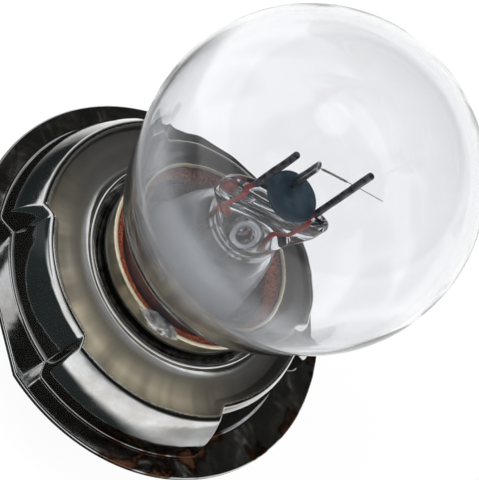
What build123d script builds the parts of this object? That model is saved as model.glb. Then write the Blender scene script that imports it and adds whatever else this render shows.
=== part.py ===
from build123d import *
from math import cos, radians, sin, tan
import os

# Automotive prefocus lamp: a clear glass bulb cemented in a single-contact cap, with a pressed
# focusing ring around the cap. Millimetres, +Z along the lamp's axis towards the glass.
# The origin is on the axis, in the plane of the back of the ring's flange.

# Focusing ring
flange_radius = 14.4
sheet = 0.5
flat_distance = 13.2
wall_foot_radius = 13.0
wall_taper = 12.5
wall_bulge = 0.22
rim_height = 4.8
rim_round = 0.42
recess_count = 3
recess_depth = 1.35
recess_span = 54
recess_corner = 0.6
recess_lip = 0.85
recess_lip_span = 62
recess_lip_lean = 8
recess_under_span = 58
trough_valley = (9.7, 4.05)
trough_outer_radius = 11.7
trough_overrun = 0.02
collar_radius = 7.95
collar_bore = 7.43
collar_height = 5.75
collar_foot_height = 5.3
collar_round = 0.24

# Cap shell
shell_wall = 0.3
barrel_radius = 7.6
barrel_bottom = -6.8
barrel_turn = 1.2
barrel_lip_radius = 5.6
sleeve_radius = 7.2
sleeve_height = 7.7
sleeve_rim_round = 0.14

# Glass bulb
glass_wall = 0.45
globe_radius = 12.5
globe_centre = 22.5
cone_angle = 24.2
waist = (8.72, 11.35)
neck_radius = 6.1
neck_top = 7.0
neck_bottom = 0.0

# Stem: long flared tube, pinched flat at its top around the two seal wires
flare_wall = 0.6
flare_foot_slope = -0.35
flare_waist = (3.66, 11.7)
flare_height = 14.4
flare_top_slope = -0.2
stem_crown = 13.4
stem_radius = 2.75
stem_shoulder = 16.1
press_top = 18.5
press_half_width = 4.4
press_half_thickness = 0.95
press_edge_round = 0.35
press_turn = 61.8
exhaust_hole_radius = 0.48
exhaust_lip_radius = 0.95
exhaust_lip_wire = 0.3
exhaust_hole_depth = 2.0
exhaust_outlet = (-0.7, 15.2, 1.7)
exhaust_outlet_tilt = 42
exhaust_tube_radius = 1.4
exhaust_tube_bore = 0.8
exhaust_tip = -3.2
exhaust_tip_wall = 0.8
exhaust_tip_round = 1.1

# Mount wires
seal_wire_radius = 0.2
seal_wire_foot = 1.75
seal_wire_rise = 0.7
seal_wire_bend = 2.6
seal_wire_bend_height = 15.2
seal_wire_turn = 0.4
lead_radius = 0.28
lead_left = -2.2
lead_right = 3.0
lead_offset = -0.3
lead_left_top = 24.1
lead_right_top = 25.8
lead_tip_round = 0.08
shield_radius = 2.0
shield_centre = (0.26, 0.1)
shield_height = 19.05
shield_depth = 0.45
shield_sheet = 0.18
shield_ear_width = 0.9
post_radius = 0.16
post_foot_place = (0.25, -1.15)
post_foot_rise = 0.3
post_top_place = (-0.13, -0.6)
post_short_strand = 0.5
post_height = 23.8
filament_radius = 0.09
filament_weld_height = 23.2
filament_stub = 0.35
filament_tail = 2.7

# Cap wiring and foot
wire_radius = 0.2
side_lead_turn = 0.6
side_lead_dip = -1.7
centre_lead_turn = 0.7
centre_lead_bend = -3.4
centre_lead_drop = 0.9
centre_lead_end = 0.35
groove_solder_height = 0.45
groove_solder_climb = 0.1
groove_solder_sag = 0.04
smear_angles = (306, 313.5, 320.5)
smear_radii = (0.68, 0.86, 0.74)
smear_radius = 7.02
smear_height = 7.4
side_lead_top = 7.35
cement_bottom = 3.6
cement_top = 7.3
cement_fall = 0.35
insulator_top = -4.9
insulator_nose = -9.2
insulator_nose_radius = 2.7
contact_radius = 2.4
contact_sheet = 0.25
contact_solder_radius = 2.0
contact_solder_height = 0.75


def polar(radius, angle, height=0.0):
    """A point at a radius and a turn about the axis."""
    return (radius * cos(radians(angle)), radius * sin(radians(angle)), height)


def on_press(along, height, forward=0.0):
    """A point in the plane of the stem's press, and a distance in front of it."""
    turn = radians(press_turn)
    return (along * cos(turn) + forward * sin(turn), along * sin(turn) - forward * cos(turn), height)


os.makedirs("parts", exist_ok=True)
press_row = (cos(radians(press_turn)), sin(radians(press_turn)), 0)
press_front = (sin(radians(press_turn)), -cos(radians(press_turn)), 0)
press_plane = Plane(origin=(0, 0, 0), x_dir=press_row, z_dir=press_front)
lead_plane = press_plane.offset(lead_offset)
level = Plane(origin=(0, 0, 0), x_dir=press_row, z_dir=(0, 0, 1))
recess_middles = [270 + 360 / recess_count * number for number in range(recess_count)]


def recessed_outline(main_radius, recess_radius, span):
    """Closed outline of the ring's wall: concentric arcs that step in at each recess."""
    for middle in recess_middles:
        CenterArc((0, 0), recess_radius, middle - span / 2, span)
        CenterArc((0, 0), main_radius, middle + span / 2, 360 / recess_count - span)
        for side in (-1, 1):
            end = middle + side * span / 2
            Line(polar(recess_radius, end)[:2], polar(main_radius, end)[:2])


def trough_arc(drop):
    """Section of the hollow front face, lowered by a drop: its arc between collar and rim."""
    return ThreePointArc(
        (collar_radius, collar_foot_height - drop),
        (trough_valley[0], trough_valley[1] - drop),
        (trough_outer_radius + drop, rim_height + trough_overrun),
    )


above = 2 * rim_height
collar_bottom = collar_foot_height - 2 * sheet
trough_base = trough_valley[1] - sheet
wall_run = (rim_height - sheet) * tan(radians(wall_taper))
wall_middle = (wall_foot_radius - wall_run / 2 + wall_bulge, (sheet + rim_height) / 2)
recess_face = wall_foot_radius - recess_depth - wall_run

plain_middle = recess_middles[0] + 180 / recess_count
plain_section = Plane(origin=(0, 0, 0), x_dir=polar(1, plain_middle), z_dir=polar(1, plain_middle - 90))


def is_recess_corner(edge):
    """True for the steep edges at the recesses' ends, and not for the seam of the turned wall."""
    seam = Vector(*polar(wall_foot_radius, plain_middle, rim_height / 2))
    return edge.bounding_box().size.Z > rim_height / 2 and (edge.center() - seam).length > 2 * recess_depth


# Focusing ring, pressed from one sheet: flange, tapered wall with three recesses, rolled rim,
# hollow front face and turned-up collar
with BuildPart() as trough_space:
    with BuildSketch(Plane.XZ):
        with BuildLine():
            arc = trough_arc(0)
            Polyline(arc @ 1, (trough_outer_radius, above), (collar_radius, above), arc @ 0)
        make_face()
    revolve(axis=Axis.Z)
    with BuildSketch(Plane.XY.offset(trough_base)):
        with BuildLine():
            recessed_outline(wall_foot_radius, recess_face - recess_lip, recess_lip_span)
        make_face()
    extrude(amount=above - trough_base, taper=-recess_lip_lean, mode=Mode.INTERSECT)

with BuildPart() as under_space:
    with BuildSketch():
        with BuildLine():
            under_radius = wall_foot_radius - sheet + sheet * tan(radians(wall_taper))
            recessed_outline(under_radius, under_radius - recess_depth, recess_under_span)
        make_face()
    extrude(amount=rim_height - sheet, taper=wall_taper)
    with BuildSketch(Plane.XZ):
        with BuildLine():
            arc = trough_arc(sheet)
            Polyline(arc @ 1, (trough_outer_radius + sheet, above), (0, above), (0, collar_bottom),
                     (collar_radius, collar_bottom), arc @ 0)
        make_face()
    revolve(axis=Axis.Z, mode=Mode.SUBTRACT)

with BuildPart() as prefocus_ring:
    with BuildSketch(plain_section):
        with BuildLine():
            wall = ThreePointArc((wall_foot_radius, sheet), wall_middle, (wall_foot_radius - wall_run, rim_height))
            Polyline(wall @ 1, (0, rim_height), (0, sheet), wall @ 0)
        make_face()
    revolve(axis=Axis.Z)
    with BuildSketch(Plane.XY.offset(sheet)):
        with BuildLine():
            recessed_outline(wall_foot_radius + wall_run, wall_foot_radius - recess_depth, recess_span)
        make_face()
    extrude(amount=rim_height - sheet, taper=wall_taper, mode=Mode.INTERSECT)
    corners = prefocus_ring.edges().filter_by(is_recess_corner)
    fillet(corners, radius=recess_corner)
    fillet(prefocus_ring.faces().sort_by(Axis.Z)[-1].edges(), radius=rim_round)
    with BuildSketch():
        Circle(flange_radius)
        with Locations((0, -flat_distance - flange_radius)):
            Rectangle(2 * flange_radius, 2 * flange_radius, mode=Mode.SUBTRACT)
    extrude(amount=sheet)
    with BuildSketch(Plane.XY.offset(sheet)):
        Circle(collar_radius)
    extrude(amount=collar_height - sheet)
    add(trough_space.part, mode=Mode.SUBTRACT)
    add(under_space.part, mode=Mode.SUBTRACT)
    with BuildSketch():
        Circle(collar_bore)
    extrude(amount=collar_height, mode=Mode.SUBTRACT)
    fillet(prefocus_ring.faces().sort_by(Axis.Z)[-1].edges(), radius=collar_round)
prefocus_ring.part.label = "prefocus_ring"
export_step(prefocus_ring.part, "parts/prefocus_ring.step")

# Cap shell, drawn in one piece: thin sleeve around the glass, wider barrel and turned-in foot
with BuildPart() as cap_shell:
    with BuildSketch(Plane.XZ):
        with BuildLine():
            turn_centre = barrel_bottom + barrel_turn
            Polyline(
                (barrel_lip_radius, barrel_bottom + shell_wall),
                (barrel_lip_radius, barrel_bottom),
                (barrel_radius - barrel_turn, barrel_bottom),
            )
            CenterArc((barrel_radius - barrel_turn, turn_centre), barrel_turn, 270, 90)
            Polyline(
                (barrel_radius, turn_centre),
                (barrel_radius, 0),
                (sleeve_radius, 0),
                (sleeve_radius, sleeve_height),
                (sleeve_radius - shell_wall, sleeve_height),
                (sleeve_radius - shell_wall, -shell_wall),
                (barrel_radius - shell_wall, -shell_wall),
                (barrel_radius - shell_wall, turn_centre),
            )
            CenterArc((barrel_radius - barrel_turn, turn_centre), barrel_turn - shell_wall, 270, 90)
            Line(
                (barrel_radius - barrel_turn, barrel_bottom + shell_wall),
                (barrel_lip_radius, barrel_bottom + shell_wall),
            )
        make_face()
    revolve(axis=Axis.Z)
    fillet(cap_shell.faces().sort_by(Axis.Z)[-1].edges(), radius=sleeve_rim_round)
cap_shell.part.label = "cap_shell"
export_step(cap_shell.part, "parts/cap_shell.step")

# Solder run in the groove between the sleeve and the ring's collar
with BuildPart() as ring_solder:
    with BuildSketch(Plane.XZ):
        with BuildLine():
            solder_top = collar_bottom + groove_solder_height
            Polyline(
                (sleeve_radius, solder_top + groove_solder_climb),
                (sleeve_radius, collar_bottom),
                (collar_bore, collar_bottom),
                (collar_bore, solder_top),
            )
            ThreePointArc(
                (sleeve_radius, solder_top + groove_solder_climb),
                ((sleeve_radius + collar_bore) / 2, solder_top - groove_solder_sag),
                (collar_bore, solder_top),
            )
        make_face()
    revolve(axis=Axis.Z)
ring_solder.part.label = "ring_solder"
export_step(ring_solder.part, "parts/ring_solder.step")


def bulb_outline(inset):
    """Half section of the blown bulb: straight neck, waist, cone and globe, closed on the axis."""
    radius = globe_radius - inset
    neck = neck_radius - inset
    cone_end = (radius * cos(radians(cone_angle)), globe_centre - radius * sin(radians(cone_angle)))
    foot = Line((0, neck_bottom), (neck, neck_bottom))
    side = Line(foot @ 1, (neck, neck_top))
    Spline(
        side @ 1,
        (waist[0] - inset, waist[1] + inset / 3),
        cone_end,
        tangents=((0, 1), (sin(radians(cone_angle)), cos(radians(cone_angle)))),
    )
    dome = CenterArc((0, globe_centre), radius, -cone_angle, 90 + cone_angle)
    Line(dome @ 1, (0, neck_bottom))


# Blown glass bulb: an even wall all the way down to its open neck
with BuildPart() as glass_bulb:
    with BuildSketch(Plane.XZ):
        with BuildLine():
            bulb_outline(0)
        make_face()
        with BuildLine():
            bulb_outline(glass_wall)
        make_face(mode=Mode.SUBTRACT)
    revolve(axis=Axis.Z)
glass_bulb.part.label = "glass_bulb"
export_step(glass_bulb.part, "parts/glass_bulb.step")


def seal_path(side):
    """Route of a seal wire: up out of the stem's bore, out into the press and up to its top."""
    return FilletPolyline(
        (side * seal_wire_foot, stem_crown),
        (side * seal_wire_foot, stem_crown + seal_wire_rise),
        (side * seal_wire_bend, seal_wire_bend_height),
        ((lead_left if side < 0 else lead_right), press_top),
        radius=seal_wire_turn,
    )


def seal_wire(side):
    """Copper-clad seal wire, melted into the press."""
    with BuildPart() as wire:
        with BuildLine(lead_plane) as path:
            seal_path(side)
        with BuildSketch(Plane(path.line @ 0, z_dir=path.line % 0)):
            Circle(seal_wire_radius)
        sweep()
    return wire.part


seal_wire_left = seal_wire(-1)
seal_wire_left.label = "seal_wire_left"
export_step(seal_wire_left, "parts/seal_wire_left.step")
seal_wire_right = seal_wire(1)
seal_wire_right.label = "seal_wire_right"
export_step(seal_wire_right, "parts/seal_wire_right.step")

def flare_line(inset):
    """Half section of the flare, from the neck's foot up to the tube below the press."""
    foot = neck_radius - glass_wall - inset
    return Spline(
        (foot, neck_bottom if inset == 0 else neck_bottom - flare_wall),
        (flare_waist[0] - inset, flare_waist[1]),
        (stem_radius - inset, flare_height),
        tangents=((flare_foot_slope, 1), (flare_top_slope, 1)),
    )


# Stem: flare fused to the neck's foot, tube, flat press and blown exhaust hole with its lip
outlet_plane = Plane(
    origin=on_press(*exhaust_outlet),
    x_dir=press_row,
    z_dir=Vector(*press_front) * cos(radians(exhaust_outlet_tilt)) + Vector(0, 0, sin(radians(exhaust_outlet_tilt))),
)
with BuildPart() as glass_stem:
    with BuildSketch(Plane.XZ):
        with BuildLine():
            outside = flare_line(0)
            Polyline(outside @ 1, (0, flare_height), (0, neck_bottom - flare_wall),
                     (neck_radius, neck_bottom - flare_wall), (neck_radius, neck_bottom), outside @ 0)
        make_face()
    revolve(axis=Axis.Z)
    with BuildSketch(level.offset(flare_height)):
        Circle(stem_radius)
    with BuildSketch(level.offset(stem_shoulder)):
        SlotOverall(2 * press_half_width, 2 * press_half_thickness)
    loft()
    with BuildSketch(level.offset(stem_shoulder)):
        SlotOverall(2 * press_half_width, 2 * press_half_thickness)
    extrude(amount=press_top - stem_shoulder)
    fillet(glass_stem.faces().sort_by(Axis.Z)[-1].edges(), radius=press_edge_round)
    with Locations(outlet_plane):
        Torus(exhaust_lip_radius - exhaust_lip_wire, exhaust_lip_wire)
    with BuildSketch(Plane.XZ):
        with BuildLine():
            inside = flare_line(flare_wall)
            Polyline(inside @ 1, (stem_radius - flare_wall, stem_crown), (0, stem_crown))
            Polyline((0, stem_crown), (0, neck_bottom - flare_wall), inside @ 0)
        make_face()
    revolve(axis=Axis.Z, mode=Mode.SUBTRACT)
    with BuildSketch(outlet_plane.offset(exhaust_lip_wire)):
        Circle(exhaust_hole_radius)
    extrude(amount=-exhaust_hole_depth - exhaust_lip_wire, mode=Mode.SUBTRACT)
    add(seal_wire_left, mode=Mode.SUBTRACT)
    add(seal_wire_right, mode=Mode.SUBTRACT)
glass_stem.part.label = "glass_stem"
export_step(glass_stem.part, "parts/glass_stem.step")


# Exhaust tube, fused to the stem's crown and melted shut at its tip
with BuildPart() as exhaust_tube:
    with BuildSketch(Plane.XY.offset(exhaust_tip)):
        Circle(exhaust_tube_radius)
    extrude(amount=stem_crown - exhaust_tip)
    fillet(exhaust_tube.faces().sort_by(Axis.Z)[0].edges(), radius=exhaust_tip_round)
    with BuildSketch(Plane.XY.offset(exhaust_tip + exhaust_tip_wall)):
        Circle(exhaust_tube_bore)
    extrude(amount=stem_crown - exhaust_tip - exhaust_tip_wall, mode=Mode.SUBTRACT)
exhaust_tube.part.label = "exhaust_tube"
export_step(exhaust_tube.part, "parts/exhaust_tube.step")


def support_lead(along, top, foot_wire):
    """Stiff lead rod welded on its seal wire."""
    with BuildPart() as rod:
        with BuildSketch(Plane(origin=on_press(along, press_top, lead_offset))):
            Circle(lead_radius)
        extrude(amount=top - press_top)
        fillet(rod.faces().sort_by(Axis.Z)[-1].edges(), radius=lead_tip_round)
        add(foot_wire, mode=Mode.SUBTRACT)
    return rod.part


support_lead_left = support_lead(lead_left, lead_left_top, seal_wire_left)
support_lead_left.label = "support_lead_left"
export_step(support_lead_left, "parts/support_lead_left.step")
support_lead_right = support_lead(lead_right, lead_right_top, seal_wire_right)
support_lead_right.label = "support_lead_right"
export_step(support_lead_right, "parts/support_lead_right.step")

# Shield: shallow dish stamped with an ear that is welded to the left lead
dish_ball = (shield_radius ** 2 + shield_depth ** 2) / (2 * shield_depth)
with BuildPart() as shield_dish:
    with BuildSketch(level.offset(shield_height)):
        with Locations((shield_centre[0], -shield_centre[1])):
            Circle(shield_radius)
        with Locations(((shield_centre[0] + lead_left) / 2, -lead_offset)):
            Rectangle(shield_centre[0] - lead_left, shield_ear_width)
    extrude(amount=shield_radius)
    with Locations(on_press(shield_centre[0], shield_height + dish_ball + shield_sheet, shield_centre[1])):
        Sphere(dish_ball, mode=Mode.SUBTRACT)
    with Locations(on_press(shield_centre[0], shield_height + dish_ball, shield_centre[1])):
        Sphere(dish_ball, mode=Mode.INTERSECT)
    with Locations(on_press(lead_left, shield_height, lead_offset)):
        Cylinder(lead_radius, 2 * shield_radius, mode=Mode.SUBTRACT)
shield_dish.part.label = "shield_dish"
export_step(shield_dish.part, "parts/shield_dish.step")

# Post: wire bent double into a hook, welded in the dish, with the filament clamped in its bend
post_foot = Vector(*on_press(post_foot_place[0], shield_height + post_foot_rise, post_foot_place[1]))
post_top = Vector(*on_press(post_top_place[0], post_height, post_top_place[1]))
post_line = (post_top - post_foot).normalized()
post_front = Vector(*press_front)
post_front = (post_front - post_line * post_front.dot(post_line)).normalized()
post_facing = Plane(origin=post_foot, x_dir=post_front, z_dir=post_front.cross(post_line))
post_gap = post_radius + filament_radius
bend_height = (post_top - post_foot).length - post_gap - post_radius
with BuildPart() as filament_post:
    with BuildLine(post_facing) as post_path:
        Line((-post_gap, post_short_strand), (-post_gap, bend_height))
        CenterArc((0, bend_height), post_gap, 180, -180)
        Line((post_gap, bend_height), (post_gap, 0))
    with BuildSketch(Plane(post_path.line @ 0, z_dir=post_path.line % 0)):
        Circle(post_radius)
    sweep()
    add(shield_dish.part, mode=Mode.SUBTRACT)
filament_post.part.label = "filament_post"
export_step(filament_post.part, "parts/filament_post.step")

# Filament: clamped in the post's hook, drawn to the back of the right lead and past it as a tail
filament_hook = post_foot + post_line * bend_height
filament_weld = Vector(*on_press(lead_right, filament_weld_height, lead_offset - lead_radius - filament_radius))
filament_run = (filament_weld - filament_hook).normalized()
with BuildPart() as filament:
    with BuildLine() as filament_line:
        Line(filament_hook - filament_run * filament_stub, filament_weld + filament_run * filament_tail)
    with BuildSketch(Plane(filament_line.line @ 0, z_dir=filament_line.line % 0)):
        Circle(filament_radius)
    sweep()
filament.part.label = "filament"
export_step(filament.part, "parts/filament.step")

# Side lead: down inside the flare, under the neck and up beside it to the blob on the shell's rim
blob_path_radius = (neck_radius + sleeve_radius - shell_wall) / 2
with BuildPart() as side_lead:
    with BuildLine() as side_path:
        FilletPolyline(
            on_press(-seal_wire_foot, stem_crown, lead_offset),
            on_press(-seal_wire_foot, side_lead_dip, lead_offset),
            polar(blob_path_radius, smear_angles[1], side_lead_dip),
            polar(blob_path_radius, smear_angles[1], side_lead_top),
            radius=side_lead_turn,
        )
    with BuildSketch(Plane(side_path.line @ 0, z_dir=side_path.line % 0)):
        Circle(wire_radius)
    sweep()
side_lead.part.label = "side_lead"
export_step(side_lead.part, "parts/side_lead.step")

# Centre lead: down inside the flare, in to the axis and through the insulator
lead_foot = insulator_nose - contact_sheet - centre_lead_end
with BuildPart() as centre_lead:
    with BuildLine() as centre_path:
        FilletPolyline(
            on_press(seal_wire_foot, stem_crown, lead_offset),
            on_press(seal_wire_foot, centre_lead_bend, lead_offset),
            (0, 0, centre_lead_bend - centre_lead_drop),
            (0, 0, lead_foot),
            radius=centre_lead_turn,
        )
    with BuildSketch(Plane(centre_path.line @ 0, z_dir=centre_path.line % 0)):
        Circle(wire_radius)
    sweep()
centre_lead.part.label = "centre_lead"
export_step(centre_lead.part, "parts/centre_lead.step")

# Basing cement between the neck and the shell, with the side lead's channel left in it
with BuildPart() as basing_cement:
    with BuildSketch(Plane.XZ):
        with BuildLine():
            Polyline(
                (neck_radius, cement_bottom),
                (sleeve_radius - shell_wall, cement_bottom),
                (sleeve_radius - shell_wall, cement_top),
                (neck_radius, cement_top - cement_fall),
                (neck_radius, cement_bottom),
            )
        make_face()
    revolve(axis=Axis.Z)
    add(glass_bulb.part, mode=Mode.SUBTRACT)
    add(side_lead.part, mode=Mode.SUBTRACT)
basing_cement.part.label = "basing_cement"
export_step(basing_cement.part, "parts/basing_cement.step")

# Solder that ties the side lead to the sleeve's rim, smeared along it
with BuildPart() as rim_solder:
    for smear_angle, lump_radius in zip(smear_angles, smear_radii):
        with Locations(polar(smear_radius, smear_angle, smear_height)):
            Sphere(lump_radius)
    add(cap_shell.part, mode=Mode.SUBTRACT)
    add(glass_bulb.part, mode=Mode.SUBTRACT)
    add(basing_cement.part, mode=Mode.SUBTRACT)
    add(side_lead.part, mode=Mode.SUBTRACT)
rim_solder.part.label = "rim_solder"
export_step(rim_solder.part, "parts/rim_solder.step")

# Insulator: moulded glass plug with a hole for the centre lead
with BuildPart() as base_insulator:
    with BuildSketch(Plane.XZ):
        with BuildLine():
            Polyline(
                (wire_radius, insulator_nose),
                (wire_radius, insulator_top),
                (barrel_radius - shell_wall, insulator_top),
                (barrel_radius - shell_wall, barrel_bottom + barrel_turn),
            )
            CenterArc((barrel_radius - barrel_turn, barrel_bottom + barrel_turn), barrel_turn - shell_wall, 0, -90)
            Polyline(
                (barrel_radius - barrel_turn, barrel_bottom + shell_wall),
                (barrel_lip_radius, barrel_bottom + shell_wall),
                (barrel_lip_radius, barrel_bottom),
                (insulator_nose_radius, insulator_nose),
                (wire_radius, insulator_nose),
            )
        make_face()
    revolve(axis=Axis.Z)
base_insulator.part.label = "base_insulator"
export_step(base_insulator.part, "parts/base_insulator.step")

# Centre contact plate under the insulator
with BuildPart() as centre_contact:
    with BuildSketch(Plane.XY.offset(insulator_nose - contact_sheet)):
        Circle(contact_radius)
        Circle(wire_radius, mode=Mode.SUBTRACT)
    extrude(amount=contact_sheet)
centre_contact.part.label = "centre_contact"
export_step(centre_contact.part, "parts/centre_contact.step")

# Solder dome that ties the centre lead to the contact plate
solder_ball = (contact_solder_radius ** 2 + contact_solder_height ** 2) / (2 * contact_solder_height)
with BuildPart() as contact_solder:
    with Locations((0, 0, insulator_nose - contact_sheet + solder_ball - contact_solder_height)):
        Sphere(solder_ball)
    with BuildSketch(Plane.XY.offset(insulator_nose - contact_sheet)):
        Rectangle(4 * solder_ball, 4 * solder_ball)
    extrude(amount=-2 * contact_solder_height, mode=Mode.INTERSECT)
    add(centre_lead.part, mode=Mode.SUBTRACT)
contact_solder.part.label = "contact_solder"
export_step(contact_solder.part, "parts/contact_solder.step")
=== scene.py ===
"""Clear prefocus headlight bulb: smooth glass, plated ring, fine wire, finishes and studio."""
from math import acos, atan2, cos, degrees, hypot, pi, radians, sin

import bmesh
import bpy
from mathutils import Matrix, Vector, noise


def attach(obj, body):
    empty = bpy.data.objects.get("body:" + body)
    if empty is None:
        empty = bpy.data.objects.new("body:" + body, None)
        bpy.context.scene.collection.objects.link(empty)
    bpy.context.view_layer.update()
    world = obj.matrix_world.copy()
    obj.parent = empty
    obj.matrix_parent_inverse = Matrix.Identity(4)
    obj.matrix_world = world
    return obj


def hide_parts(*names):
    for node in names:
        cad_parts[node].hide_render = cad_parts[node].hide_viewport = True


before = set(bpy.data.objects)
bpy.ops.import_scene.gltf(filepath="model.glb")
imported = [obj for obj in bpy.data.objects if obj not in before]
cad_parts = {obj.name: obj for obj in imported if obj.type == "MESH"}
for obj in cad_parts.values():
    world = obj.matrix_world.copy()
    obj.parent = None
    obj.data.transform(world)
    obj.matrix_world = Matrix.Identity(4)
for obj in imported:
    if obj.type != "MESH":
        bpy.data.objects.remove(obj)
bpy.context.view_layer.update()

MM = 0.001

# Sizes of the lamp in millimetres, as in the part's source
FLANGE_RADIUS = 14.4
SHEET = 0.5
FLAT_DISTANCE = 13.2
FLAT_TURN = 270
WALL_FOOT = 12.75
RIM_HEIGHT = 4.8
RECESS_SPAN = 54
RECESS_MIDDLES = (270, 30, 150)
TROUGH_VALLEY = (9.7, 4.05)
TROUGH_OUTER = 11.7
COLLAR_RADIUS = 7.95
COLLAR_BORE = 7.43
COLLAR_HEIGHT = 5.75
COLLAR_FOOT = 5.3
COLLAR_BOTTOM = 4.3
GLASS_WALL = 0.45
GLOBE_RADIUS = 12.5
GLOBE_CENTRE = 22.5
CONE_ANGLE = 24.2
NECK_RADIUS = 6.1
NECK_TOP = 7.0
NECK_BOTTOM = 0.0
WAIST = (8.72, 11.35)
FOOT_TIP = -10.2
FLARE_WALL = 0.6
FLARE_WAIST = (3.66, 11.7)
FLARE_FOOT_LEAN = (-0.33, 0.944)
FLARE_TOP_LEAN = (-0.196, 0.98)
FLARE_HEIGHT = 14.4
STEM_CROWN = 13.4
STEM_RADIUS = 2.75
PRESS_TURN = 61.8
PRESS_TOP = 18.5
PRESS_HALF_WIDTH = 4.4
PRESS_HALF_THICKNESS = 0.95
EXHAUST_OUTLET = (-0.7, 15.2, 1.7)
EXHAUST_TILT = 42.0
LEAD_RIGHT = 3.0
LEAD_OFFSET = -0.3
LEAD_RADIUS = 0.28
POST_FOOT = (0.25, 19.35, -1.15)
POST_TOP = (-0.13, 23.8, -0.6)
POST_RADIUS = 0.16
FILAMENT_RADIUS = 0.09
FILAMENT_WELD_HEIGHT = 23.2
FILAMENT_STUB = 0.35
FILAMENT_TAIL = 2.7
SOLDER_TURN = 313.5
SOLDER_RADIUS = 7.02
SOLDER_HEIGHT = 7.4

# Forms that only the smooth meshes have. A bend is its first and last slope in degrees from
# upright, its length and its number of points. A lip is its last slope and the gap to the face.
PLAIN_BENDS = ((0, 30, 4.16, 30), (30, 90, 0.44, 12))
RECESS_BENDS = ((9, 12, 3.5, 20), (14, 30, 0.6, 14), (30, 90, 0.25, 8))
COLLAR_BENDS = ((14, 40, 0.3, 8), (40, 170, 0.28, 10))
COLLAR_BEVEL = 0.36
PLAIN_LIP = (118, 0.1)
RECESS_LIP = (148, 0.475)
LIP_LENGTH = 0.2
RECESS_STEP = 1.2
RECESS_EASE = 2.2
FLANGE_EDGE = ((-0.12, 0.0), (0.0, 0.08), (0.0, SHEET - 0.1), (-0.1, SHEET))
FLANGE_EDGE_WIDTH = 0.15
FOOT_ROUND = 0.22
FOOT_GAP = 0.04
FINE_TURN = 0.25
FINE_STEPS = 12
CROWN_ROUND = 0.3
SHOULDER_RISE = 2.2
PRESS_SQUARENESS = 2.4
PRESS_ROUND_ACROSS = 0.75
PRESS_ROUND_DEEP = 0.4
PRESS_ROUND_UP = 0.75
PRESS_ROUND_DROP = 0.7
PRESS_DOME = 0.02
EXHAUST_LIP_RADIUS = 0.92
EXHAUST_LIP_WIRE = 0.4
EXHAUST_HOLE_RADIUS = 0.5
EXHAUST_HOLE_TOP = 0.9
EXHAUST_HOLE_BOTTOM = -1.5
SMEAR_HALF_LENGTH = 1.75
SMEAR_HALF_WIDTH = 0.62
SMEAR_HALF_HEIGHT = 0.55
SMEAR_TAPER = 0.12
COIL_RADIUS = 0.062
COIL_WIRE_RADIUS = 0.028
COIL_PITCH = 0.085
HOOK_LEG = 0.35
WELD_LEG = 0.5

# Which way the side of plate and glass that gets painted light faces, and the more stained one
PAINTED_LIGHT_SIDE = (0.5, -0.87, 0.0)
STAINED_SIDE = (0.87, 0.5, 0.0)

# Pale film on the glass, a painted reflection: the heights where it starts, is full, ends and
# begins to end, how much it covers, and whether it lies on the side of the painted light alone
STEM_PAINTED_REFLECTION = (-1.0, 0.0, 14.5, 12.5, 0.3, False)
BULB_PAINTED_REFLECTION = (15.5, 20.0, 25.4, 23.0, 0.15, True)
STEM_REFLECTION_COLOUR = (0.8, 0.84, 0.9)

# Colours of the plate's face, painted shade on the side away from the light and a painted sheen
# on the near side, and of its wear; of the glass round the exhaust hole, with painted shade in
# the hole and round the lip; and of the wires: a colour, a darker one and a roughness
PAINTED_SHADE_PATCHES = ((0.02, 0.018, 0.012), (0.05, 0.045, 0.03))
PAINTED_SHEEN = ((0.16, 0.135, 0.09), (0.56, 0.485, 0.33))
SPECK = (0.09, 0.075, 0.05)
BROWN_STAIN = (0.14, 0.065, 0.04)
PALE_CROWN = (0.8, 0.7, 0.5)
# painted shade in the exhaust hole, and a painted dark line round the lip's edge
EYE_PAINTED_SHADE = (0.08, 0.085, 0.09)
EYE_RING_PAINTED_SHADE = (0.3, 0.32, 0.33)
DARK_NICKEL = ((0.3, 0.29, 0.32), (0.1, 0.1, 0.13), 0.35)
PALE_WIRE = ((0.66, 0.7, 0.72), (0.36, 0.4, 0.42), 0.25)
COPPER = ((0.6, 0.36, 0.22), (0.3, 0.16, 0.1), 0.35)
TUNGSTEN = ((0.5, 0.5, 0.46), (0.3, 0.3, 0.28), 0.4)

# The photograph's view: turn and height of the camera about the lamp, the lamp's lean in the
# picture, and the picture's scale
CAMERA_TURN = 295.5
CAMERA_HEIGHT = 50.4
PICTURE_LEAN = 34.5
PICTURE_WIDTH = 479
PIXELS_PER_MM = 14.02
CAMERA_DISTANCE = 900.0
AIM_SIDE = 0.68
AIM_HEIGHT = 12.2

# Dark patches painted on the floor, a painted shade shown only in the plate's reflections: middle, radius
# and darkness
MIRRORED_SHADE_PATCHES = (
    ((10.0, -25.0, FOOT_TIP), 24.0, 1.0),
    ((-48.0, -22.0, FOOT_TIP), 22.0, 1.0),
    ((50.0, 24.0, FOOT_TIP), 14.0, 0.8),
    ((-47.0, -82.0, FOOT_TIP), 20.0, 0.9),
)
MIRRORED_SHADE_EDGE = 28.0

# Dark ceiling with its openings, shown only in reflections: turn, height, spread, fade and tone
CEILING = (0.012, 0.012, 0.010)
OPENINGS = ((125, 72, 11, 21, (0.45, 0.44, 0.42)), (212, 67, 9, 13, (0.98, 0.98, 1.0)))

# Bands low on the ceiling: the heights where each starts and is full, and its tone
BANDS = ((34, 12, (0.3, 0.3, 0.31)), (7, 1, (0.95, 0.95, 0.97)))
FLOOR_HALF_WIDTH = 400.0
LAMP_MIDDLE = (0.0, 0.0, 12.0)


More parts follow.
